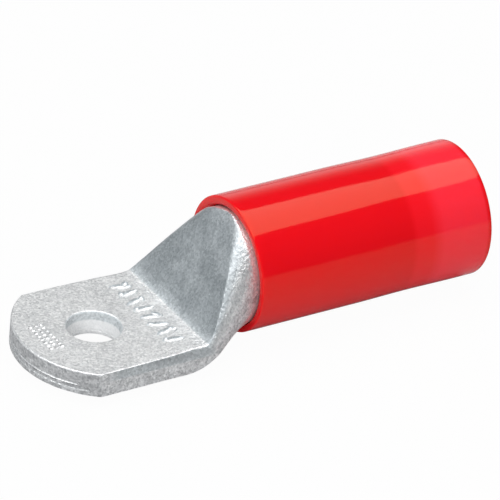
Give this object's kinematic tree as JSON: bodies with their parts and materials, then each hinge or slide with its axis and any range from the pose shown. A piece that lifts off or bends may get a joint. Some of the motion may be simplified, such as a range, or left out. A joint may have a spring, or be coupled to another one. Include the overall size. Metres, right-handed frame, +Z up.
{
  "type": "insulated tubular cable lug",
  "caption": "Tinned copper tube pressed flat into a drilled palm at one end, with an open barrel for a stranded conductor inside a red plastic sleeve that also takes the cable's insulation.",
  "frame": {"origin": "centre of the bolt hole, in the plane of the palm's underside", "axes": "+X from the bolt hole along the barrel to the cable entry, +Z up through the palm and along the bolt hole, +Y across the palm"},
  "size_m": [0.076, 0.0248, 0.0213],
  "materials": {
    "tinned_copper": "dull electroplated tin over copper, fine grain, satin",
    "red_plastic": "glossy and slightly translucent"
  },
  "bodies": {
    "root": {"lug": "tinned_copper", "insulating_sleeve": "red_plastic"}
  },
  "joints": []
}
